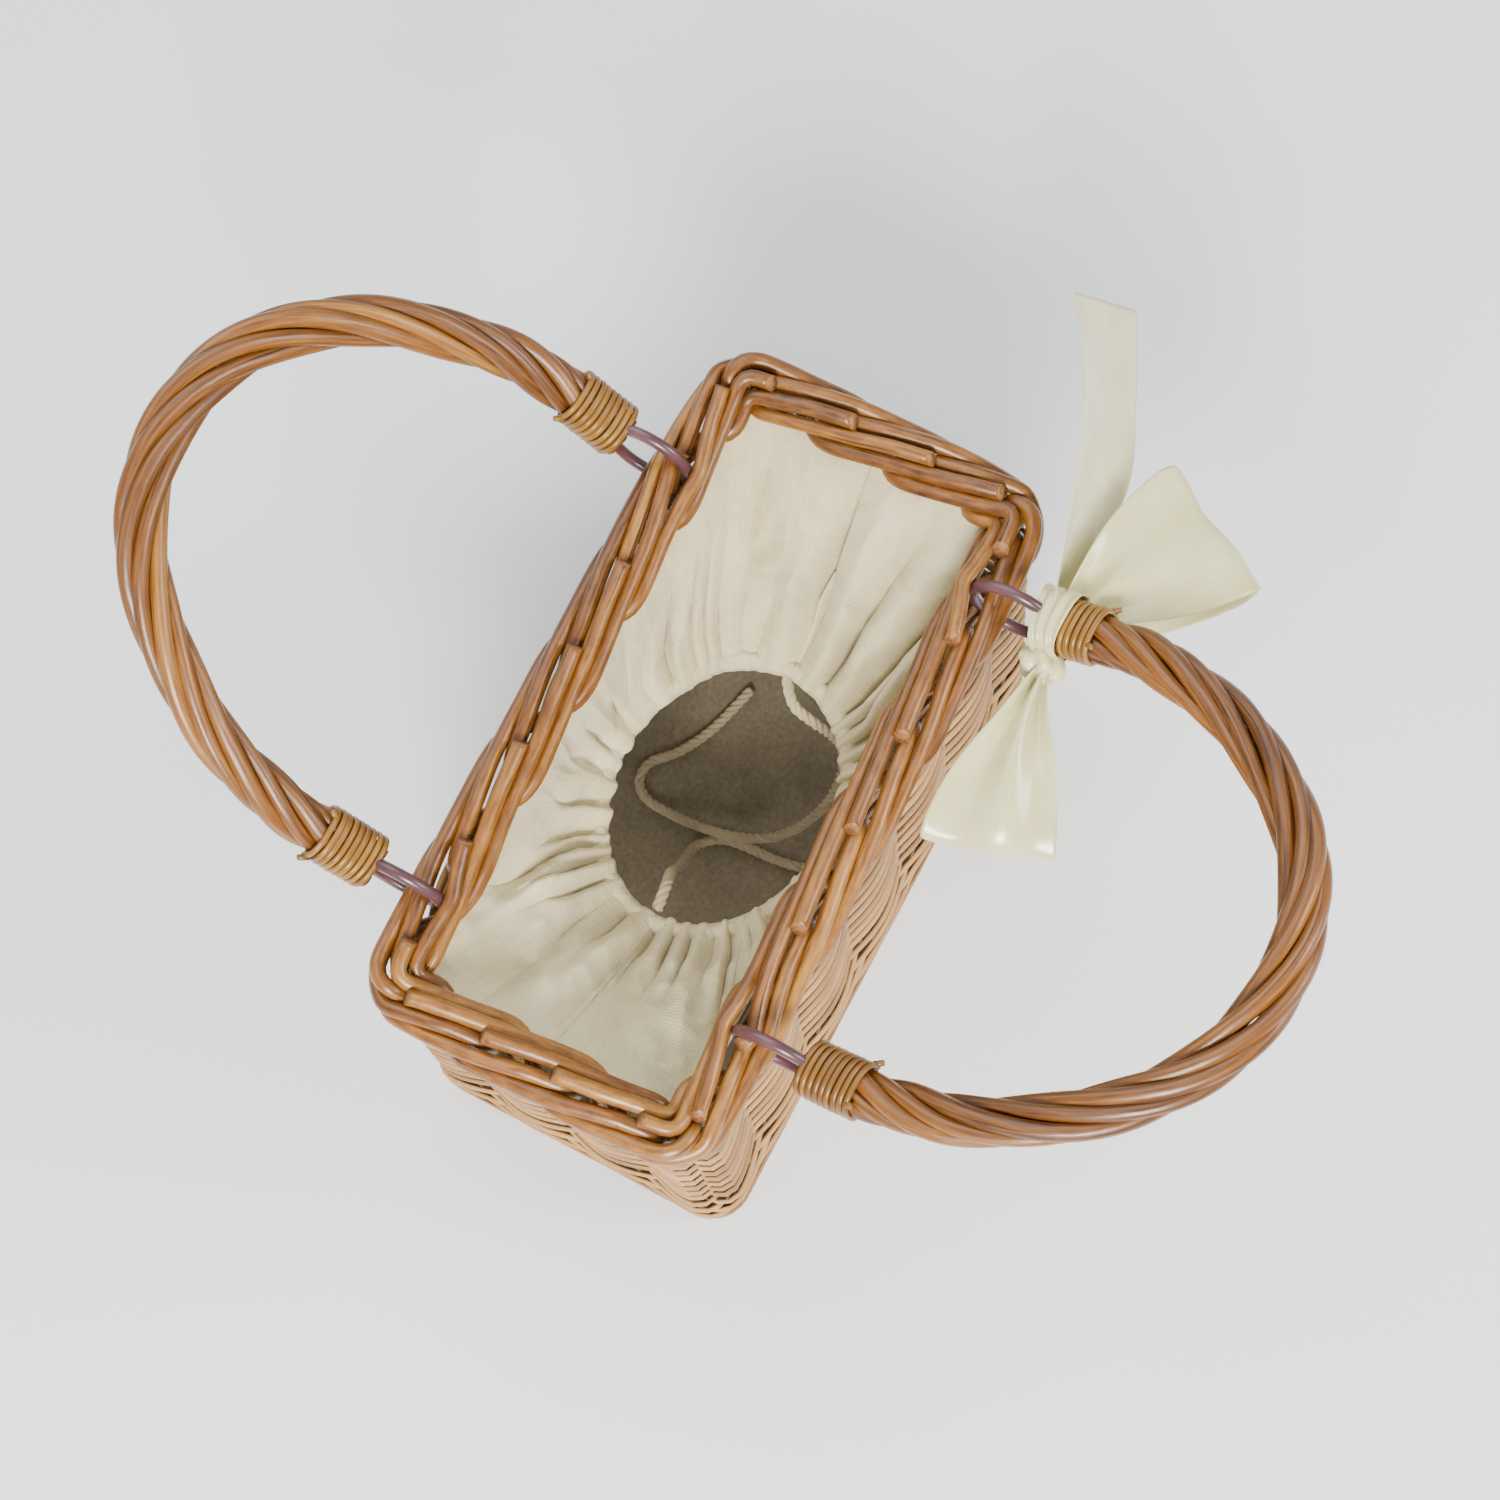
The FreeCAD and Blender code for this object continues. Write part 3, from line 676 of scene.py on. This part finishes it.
def make_border():
    makers = {side: Maker() for side in SIDES}
    for i, (side, line) in enumerate(press_together(border_routes())):
        thick = ROD * (1.04 + 0.1 * wander(i, 5, 1.7))
        taper = 0.16 * wander(i, 25, 2.1)
        radii = [thick * (1 + taper * (k / len(line) - 0.5) + 0.04 * wander(k * 0.11, i))
                 for k in range(len(line))]
        ahead = (line[-1] - line[-4]).normalized()
        askew = Vector((wander(i, 8, 3), wander(i, 9, 3), 0))
        slant = (ahead + Vector((0, 0, 0.55)) + askew * 0.3).normalized()
        makers[side].rod(line, radii, tone=0.5 + 0.5 * wander(i, 6, 2.3), sides=3,
                         cut=(line[-1] - ahead * 1.4, slant))
    for side, maker in makers.items():
        maker.done("border_rods_" + side, "basket", "willow_rod", [WILLOW, CUT_END],
                   "border_" + side)


make_border()

# ---------------------------------------------------------------- woven walls
ROWS, ROW_HIGH, STRIP_THICK = 24, 5.6, 1.6
WEAVE_LOW, WEAVE_HIGH = 4.4, 133.6
CORNER_IN, STATION = 2.6, 2.6    # a corner's middle in from its point, and the strips' step


def bind_foot(makers):
    """The two lowest strips, laid flat against the board's edge."""
    track = Track(RIM_X + 0.5, RIM_Y - 0.5, 12)
    ends = [track.mark(sx * (RIM_X - 2.5), sy * (RIM_Y - 3.5)) for sx, sy in QUARTERS]
    for low, high in ((0.15, 2.25), (2.15, 4.5)):
        for side, begin, end in zip(("back", "left", "front", "right"), ends, ends[1:] + ends[:1]):
            end += track.length if end <= begin else 0
            count = round((end - begin) / 3)

            def place(around, along, begin=begin, end=end, low=low, high=high):
                s = begin + (end - begin) * along
                c, d = math.cos(2 * math.pi * around), math.sin(2 * math.pi * around)
                rise = (low + high) / 2 + math.copysign(abs(c) ** 0.6, c) * (high - low) / 2
                bulge = 0.35 + math.copysign(abs(d) ** 0.7, d) * 0.5 + 0.2 * wander(s * 0.06, low)
                return track.at(s, bulge, rise)

            makers[side].surface(8, count, place, 6, end - begin, tone=0.25, closed=True)


def make_weave():
    """Rows of flat strips that pass in front of and behind the stakes by turns."""
    makers = {side: Maker() for side in SIDES}
    pitch = (WEAVE_HIGH - WEAVE_LOW) / ROWS
    for row in range(ROWS):
        z = WEAVE_LOW + pitch * (row + 0.5)
        swing = (STAKE + STRIP_THICK / 2 + 0.1) * (0.3 + 0.7 * ease(0, 4, row))
        flare = 3.3 * (1 - ease(-1, 6, row))
        half_x, half_y = wall_line(z)
        track = Track(half_x, half_y, 7)
        stakes = sorted((track.mark(x, y), side) for side, x, y in stake_places(z))
        marks = [s for s, _ in stakes]
        corners = [track.mark(sx * (half_x - CORNER_IN), sy * (half_y - CORNER_IN))
                   for sx, sy in QUARTERS]
        spans = (("back", 0, 1), ("left", 1, 2), ("front", 2, 3), ("right", 3, 4))
        closed = [marks[-1] - track.length, *marks, marks[0] + track.length]
        for side, a, b in spans:
            begin = corners[a]
            end = corners[b % 4]
            while end <= begin:
                end += track.length
            count = round((end - begin) / STATION)
            stations = []
            for i in range(count + 1):
                s = begin + (end - begin) * i / count
                near = s % track.length
                k = int(np.searchsorted(closed, near)) - 1
                gap = closed[k + 1] - closed[k]
                wave = math.cos(math.pi * (near - closed[k]) / gap) * (1 if (k + row) % 2 else -1)
                lift = 0.35 * wander(near * 0.02, row) + 0.25 * wander(near * 0.11, row + 40)
                stations.append((track.at(s, swing * wave + flare, z + lift),
                                 track.at(s, 1) - track.at(s, 0),
                                 2.2 * wander(near * 0.05, row + 80)))
            grow = 1 + 0.06 * wander(row, 12, 3)

            def place(around, along, stations=stations, grow=grow):
                point, way, lean = stations[round(along * (len(stations) - 1))]
                angle = 2 * math.pi * around
                c, s = math.cos(angle), math.sin(angle)
                high = math.copysign(abs(c) ** 0.6, c) * ROW_HIGH / 2 * grow
                deep = math.copysign(abs(s) ** 0.7, s) * STRIP_THICK / 2
                tip = math.radians(lean * 2)
                return point + way * (deep + high * math.sin(tip)) + Z * (high * math.cos(tip))

            tone = 0.5 + 0.5 * wander(row, 14, 3.1)
            makers[side].surface(8, len(stations) - 1, place, 13, end - begin, tone=tone,
                                 closed=True)
    bind_foot(makers)
    for side, maker in makers.items():
        maker.done("weave_" + side, "basket", "split_willow", [STRIP], "wall_" + side)


make_weave()


# ---------------------------------------------------------------- twisted handles
def handle_frame(side):
    """The frame of one handle: x along the rim, y out along the handle, z across it."""
    if side == "back":
        turn = Matrix.Rotation(math.radians(BACK_ANGLE), 3, "X")
        return Vector((-HANDLE_SHIFT, RIM_Y, HINGE_Z)), turn
    turn = Matrix.Rotation(-math.radians(FRONT_ANGLE), 3, "X") @ Matrix.Rotation(math.pi, 3, "Z")
    return Vector((HANDLE_SHIFT, -RIM_Y, HINGE_Z)), turn


def hoop_line(step=2.0):
    """The hoop's middle line in its own frame: legs, shoulders and crown."""
    shoulder = 100.0
    eighth = math.radians(45)
    crown = (HANDLE_HALF - shoulder * (1 - math.cos(eighth))) / math.cos(eighth)
    leg = HANDLE_REACH - crown - (shoulder - crown) * math.sin(eighth)
    line = [Vector((HANDLE_HALF, y, 0)) for y in np.linspace(10.2, leg, 8)]
    for i in range(1, 31):
        a = eighth * i / 30
        line.append(Vector((HANDLE_HALF - shoulder * (1 - math.cos(a)),
                            leg + shoulder * math.sin(a), 0)))
    centre = HANDLE_REACH - crown
    for i in range(1, 31):
        a = eighth + eighth * i / 30
        line.append(Vector((crown * math.cos(a), centre + crown * math.sin(a), 0)))
    line += [Vector((-p.x, p.y, 0)) for p in reversed(line[:-1])]
    return evenly(line, step)


STRANDS = ((1, 2), (3,), (4, 5), (6,))    # which strands stand for each CAD rod
HANDLE_LAY = 122.0    # the length in which a strand goes once round the handle


def make_handle(side):
    """Six rods twisted round each other, each end whipped with a skein of split willow."""
    centre, turn = handle_frame(side)
    body = side + "_handle"
    line, total = hoop_line()
    seed = 20 if side == "back" else 40
    for group, strands in enumerate(STRANDS):
        maker = Maker()
        for k in strands:
            path, radii = [], []
            for i, point in enumerate(line):
                share = i / (len(line) - 1)
                along = total * share
                free = min(along, total - along)
                held = 1 - ease(0, 50, free)
                wound = along - 22 * held * (1 if share < 0.5 else -1)
                angle = (math.radians(60 * k) - 2 * math.pi * wound / HANDLE_LAY
                         + 0.3 * wander(along * 0.011, seed + k))
                tangent = (line[min(i + 1, len(line) - 1)] - line[max(i - 1, 0)]).normalized()
                out = Vector((tangent.y, -tangent.x, 0))
                butt = share if k % 2 else 1 - share
                radius = 1.95 + 0.75 * butt + 0.12 * wander(along * 0.01, seed + 9 + k)
                spread = 4.15 + 0.5 * ease(18, 60, free) * wander(along * 0.014, seed + 5 + k)
                offset = (out * (spread * 1.08 * math.cos(angle))
                          + Z * (spread * 0.84 * math.sin(angle)))
                path.append(centre + turn @ (point + offset))
                radii.append(radius)
            maker.rod(path, radii, tone=0.45 + 0.6 * wander(k, seed, 1.9), sides=3)
        name = "handle_%s_rod_%d" % (side, group + 1)
        maker.done("twisted_" + name, body, "willow_rod", [WILLOW, CUT_END], name)
    for sign in (-1, 1):
        end = "left" if (sign < 0) == (side == "back") else "right"
        make_whipping(side, end, sign, centre, turn, body)


def make_whipping(side, end, sign, centre, turn, body):
    """Turns of flat skein drawn tight round the handle's end, fewer where the bow is tied."""
    turns, low, high = 8.5, 11.4, 28.2
    if side == "front" and end == "right":
        turns, low = 5.6, 17.0
    seed = sum(map(ord, side + end))
    count = int(turns * 40)
    stations = []
    for i in range(count + 1):
        t = i / count
        angle = 2 * math.pi * turns * t
        c, s = math.cos(angle), math.sin(angle)
        snug = 1 + 0.03 * wander(t * 11, seed + 3)
        x = math.copysign(abs(c) ** 0.8, c) * 7.5 * snug
        z = math.copysign(abs(s) ** 0.8, s) * 6.4 * snug
        v = low + (high - low) * t + 0.25 * wander(t * 9, seed)
        away = Vector((c * 6.55, 0, s * 8.0)).normalized()
        stations.append((Vector((sign * HANDLE_HALF + x, v, z)), away))

    def place(around, along):
        point, away = stations[round(along * count)]
        angle = 2 * math.pi * around
        across = math.cos(angle) * 0.92
        out = math.sin(angle) * 0.72
        return centre + turn @ (point + Vector((0, across, 0)) + away * out)

    maker = Maker()
    girth = 44
    maker.surface(8, count, place, 4.5, turns * girth, tone=0.55 + 0.3 * wander(seed, 2),
                  closed=True)
    for k in range(2):
        angle = 0.9 + 2.1 * k
        root = Vector((sign * HANDLE_HALF + 7.6 * math.cos(angle), high - 1.0,
                       6.2 * math.sin(angle)))
        tip = root + Vector((1.6 * math.cos(angle), 2.6, 1.6 * math.sin(angle)))
        maker.rod([centre + turn @ p for p in (root, (root + tip) / 2, tip)], [1.0, 0.95, 0.8],
                  sides=1)
    maker.done("skein_%s_%s" % (side, end), body, "willow_skein", [SKEIN, CUT_END],
               "whipping_%s_%s" % (side, end))


make_handle("back")
make_handle("front")

# ---------------------------------------------------------------- liner and its gathered hem
LINER_TOP = 138.5
CLOTH = Track(RIM_X - 13.4, RIM_Y - 13.4, 6)
CLOTH_START = CLOTH.mark(RIM_X, 0.0)


def uneven(count, low, high):
    """Marks from 0 to 1 with uneven gaps between them."""
    marks = np.cumsum([0] + [random.uniform(low, high) for _ in range(count)])
    return marks / marks[-1]


PLEATS = uneven(34, 0.6, 1.5)
FOLDS = uneven(15, 0.5, 1.6)


def ridges(f, table, power=0.75):
    """Rounded ridges with sharp valleys, one to each gap of a table, f of the way round."""
    return abs(math.sin(math.pi * np.interp(f % 1, table, range(len(table))))) ** power


def neck_at(f):
    """Where the cloth at f of the way round the rim comes to at the neck, and its direction."""
    x, y = CLOTH.at(CLOTH_START + f * CLOTH.length).xy
    even = 2 * math.pi * f
    facing = math.atan2(y * 1.9, x)
    facing += 2 * math.pi * round((even - facing) / (2 * math.pi))
    angle = 0.5 * even + 0.5 * facing
    wobble = 1 + 0.022 * wander(math.cos(angle) * 2.1, 5) + 0.022 * wander(math.sin(angle) * 2.3, 9)
    base = Vector((math.cos(angle) * NECK_X - 1.5, math.sin(angle) * NECK_Y - 1.5, 0)) * wobble
    return base, Vector((math.cos(angle) / NECK_X, math.sin(angle) / NECK_Y, 0)).normalized()


def cloth_at(f, v):
    """The liner: f round the basket, v from the rim at 0 down to the neck at 1."""
    top = CLOTH.at(CLOTH_START + f * CLOTH.length)
    low, outward = neck_at(f)
    turned = ease(0.86, 1.0, v)
    low += outward * (3.0 - 5.6 * turned)
    away = top - low
    reach = away.length
    out = away.normalized()
    end = ease(14, 46, reach)
    share = v ** (1.25 - 0.2 * end)
    side_share = share * (1 - 0.30 * (1 - end) * math.sin(math.pi * v))
    point = top.lerp(low, side_share)
    drop = (LINER_TOP - NECK_Z - 5.0) * (min(v / 0.92, 1) ** (0.92 + 0.1 * end))
    height = LINER_TOP - drop - 4.0 * turned ** 2
    slope = Vector((-out.x * 0.5, -out.y * 0.5, 1)) * (0.25 + 0.75 * end) - out * (1 - end) * 0.75
    normal = slope.normalized()
    drift = f + 0.011 * noise.noise(Vector((f * 34, v * 2.6, 4.4))) * ease(0.0, 0.7, v)
    swell = math.sin(math.pi * min(v, 1) ** 1.25) ** 0.9
    broad = (ridges(drift, FOLDS, 0.9) - 0.55) * swell * (3.4 + 8.5 * end)
    broad *= 1 + 0.7 * wander(f * 17, 61)
    fine_in = ease(0.42, 0.96, v + 0.16 * wander(f * 21, 51))
    puff = 1 + 0.75 * wander(f * 37, 71) + 0.5 * noise.noise(Vector((f * 60, v * 7, 8.8)))
    fine = (ridges(drift, PLEATS) - 0.5) * fine_in * (5.2 + 1.6 * end) * puff * (1 - 0.5 * turned)
    spot = Vector((point.x, point.y, 0)) * 0.034
    crease = 1 - 2.4 * abs(noise.noise(spot + Vector((3.1, 1.7, 0.6))))
    crease = crease * swell * (0.8 + 5.4 * end)
    small = (1 - 2 * abs(noise.noise(spot * 3.6))) * swell * 1.5
    point.z = height - 3.0 * end * math.sin(math.pi * v)
    return point + normal * (broad + fine + crease * 0.8 + small)


def make_liner():
    for name, start in (("back", 0.0), ("front", 0.5)):
        maker = Maker()
        maker.surface(420, 56, lambda a, b, start=start: cloth_at(start + a * 0.5, b), 285, 62)
        made = maker.done("liner_%s_cloth" % name, "basket", "linen", [LINEN],
                          "liner_%s_panel" % name, thick=0.7)
    maker = Maker()
    for f in (0.0, 0.5):
        line = [cloth_at(f, v) + Z * 0.32 for v in np.linspace(0.01, 0.97, 60)]
        maker.rod(line, 0.32, sides=1)
    maker.done("liner_seams", "basket", "linen", [LINEN])


def make_hem():
    """The drawstring's channel, puckered where the cord draws it in."""
    maker = Maker()

    def place(around, f):
        base, outward = neck_at(f)
        ridge = ridges(f + 0.004 * math.sin(2 * math.pi * around), PLEATS)
        turn = 2 * math.pi * around
        puff = 2.3 + 0.9 * ridge
        tall = 3.0 + 0.9 * ridge
        shift = 0.7 * (ridge - 0.5) + 0.7 * wander(f * 13, 31)
        inner = math.cos(turn) * puff + shift
        crinkle = 0.35 * noise.noise(Vector((f * 160, math.cos(turn) * 1.5, math.sin(turn) * 1.5)))
        point = base + outward * (inner + crinkle * math.cos(turn))
        point.z = NECK_Z + math.sin(turn) * (tall + crinkle) + 0.9 * wander(f * 14, 33)
        return point

    maker.surface(20, 700, place, 24, 420, closed=True)
    made = maker.done("gathered_hem", "basket", "linen", [LINEN], "drawstring_hem", thick=0.5)


make_liner()
make_hem()

# ---------------------------------------------------------------- satin bow
BOW_CENTRE, BOW_TURN = handle_frame("front")
RIBBON = 38.0


def smooth_through(points, count):
    """A smooth line through a few places, as count + 1 points (Catmull-Rom)."""
    points = [Vector(p) for p in points]
    ends = [points[0] * 2 - points[1], *points, points[-1] * 2 - points[-2]]
    made = []
    for i in range(count + 1):
        t = i / count * (len(points) - 1)
        k = min(int(t), len(points) - 2)
        u = t - k
        a, b, c, d = ends[k:k + 4]
        made.append(0.5 * ((2 * b) + (c - a) * u + (2 * a - 5 * b + 4 * c - d) * u * u
                           + (3 * b - 3 * c + d - a) * u ** 3))
    return made


def ribbon(name, left, right, flat_length, seed, node, folds, fold_deep, belly, wrinkle):
    """Satin between two edges, given as matching places along each. Where the edges come
    closer than the ribbon is wide, the spare width stands in pleats."""
    count = 72
    lefts, rights = smooth_through(left, count), smooth_through(right, count)

    def place(a, b):
        i = round(b * count)
        one, two = lefts[i], rights[i]
        ahead = (lefts[min(i + 1, count)] + rights[min(i + 1, count)]
                 - lefts[max(i - 1, 0)] - rights[max(i - 1, 0)]).normalized()
        across = two - one
        face = across.cross(ahead).normalized()
        spare = max(0.0, 1 - across.length / RIBBON)
        depth = fold_deep * spare ** 0.8 * math.sin(2 * math.pi * folds * a + seed)
        bow_out = belly * math.sin(math.pi * a) * math.sin(math.pi * b)
        ripple = wrinkle * noise.noise(Vector((a * 2.3, b * 3.1, seed)))
        ripple *= math.sin(math.pi * min(max(b, 0.04), 0.96))
        return one.lerp(two, a) + face * (depth + bow_out + ripple)

    maker = Maker()
    maker.surface(40, count, place, RIBBON, flat_length)
    made = maker.done(name, "front_handle", "satin_ribbon", [SATIN], node, thick=0.28)


def make_bow():
    ribbon("bow_tail",
           [(70, -66, 150), (82, -63, 156), (103, -56.5, 162), (121, -50.5, 166),
            (137, -42, 168), (152, -32, 168)],
           [(71, -69, 139), (84, -69.5, 136), (107, -68.5, 133), (128, -66, 132),
            (149, -57.5, 133), (171, -46, 136)],
           100, 1.3, "ribbon_tail", folds=1.0, fold_deep=1.6, belly=-3.0, wrinkle=1.4)
    ribbon("bow_loop_right",
           [(66, -68, 147), (82, -67, 149), (104, -68, 150), (122, -73, 149),
            (127.5, -77, 146), (121, -75, 139), (102, -70, 136), (80, -68, 139), (66, -69, 142)],
           [(66, -72, 145), (78, -82, 146), (90, -98, 146), (103, -110, 145),
            (108.7, -113.4, 142), (104, -110, 135), (90, -96, 131), (78, -82, 136),
            (66, -73, 141)],
           136, 2.1, "ribbon_loop_right", folds=2.0, fold_deep=3.4, belly=1.5, wrinkle=3.0)
    ribbon("bow_loop_left",
           [(58, -69, 146), (45, -66, 146), (25, -61.5, 145), (10, -61, 143), (4.5, -62, 139),
            (10, -62, 133), (26, -61.5, 131), (45, -66, 137), (57, -69, 141)],
           [(58, -73, 146), (48, -78, 147), (35, -87, 147), (20, -95, 144), (14.5, -97.5, 140),
            (20, -95, 134), (36, -86, 133), (49, -77, 138), (58, -72, 141)],
           110, 4.0, "ribbon_loop_left", folds=2.0, fold_deep=3.4, belly=-1.5, wrinkle=3.0)
    make_band()
    make_knot(Vector((61, -70, 144)))


def make_band():
    """The ribbon's turn round the whipping, drawn tight towards the knot."""
    leg = -HANDLE_HALF

    def place(a, b):
        angle = 2 * math.pi * b
        c, s = math.cos(angle), math.sin(angle)
        crush = 0.5 + 0.5 * c
        wide = 12.0 - 4.2 * crush
        v = 14.2 + wide * (a - 0.5) + 0.7 * math.sin(angle + 1)
        fold = 0.45 * math.sin(2 * math.pi * (3 * a + 0.4 * math.sin(angle))) * (0.45 + 0.8 * crush)
        x = math.copysign(abs(c) ** 0.75, c) * (9.4 + fold)
        z = math.copysign(abs(s) ** 0.75, s) * (7.9 + fold)
        return BOW_CENTRE + BOW_TURN @ Vector((leg + x, v, z))

    maker = Maker()
    maker.surface(20, 96, place, 20, 54)
    bmesh.ops.remove_doubles(maker.bm, verts=maker.bm.verts, dist=1e-6)
    made = maker.done("bow_band", "front_handle", "satin_ribbon", [SATIN], "ribbon_band", thick=0.3)


def make_knot(centre):
    """The small hard knot that everything gathers into."""
    bm = bmesh.new()
    bmesh.ops.create_icosphere(bm, subdivisions=5, radius=1)
    for vert in bm.verts:
        x, y, z = vert.co
        around = math.atan2(z, y)
        ribs = 0.1 * math.sin(5 * around + 3 * x) + 0.07 * noise.noise(vert.co * 2.4)
        waist = 1 - 0.22 * x * x
        vert.co = (centre + Vector((x * 5.6, y * 6.6, z * 5.8)) * (waist + ribs)) * MM
    maker = Maker()
    maker.take(bm)
    for face in maker.bm.faces:
        for loop in face.loops:
            point = loop.vert.co
            loop[maker.uv].uv = (point.y, point.x + point.z)
    maker.done("bow_knot", "front_handle", "satin_ribbon", [SATIN], "ribbon_knot")


make_bow()


# ---------------------------------------------------------------- finishes of the CAD parts
def finish_node(name, material):
    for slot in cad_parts[name].material_slots:
        slot.material = material


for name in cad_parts:
    if name.startswith("stakes"):
        finish_node(name, WILLOW)
    elif name.startswith("ring"):
        finish_node(name, WIRE)
    elif name == "drawstring_in_hem":
        finish_node(name, COTTON)
finish_node("base_board", BOARD)
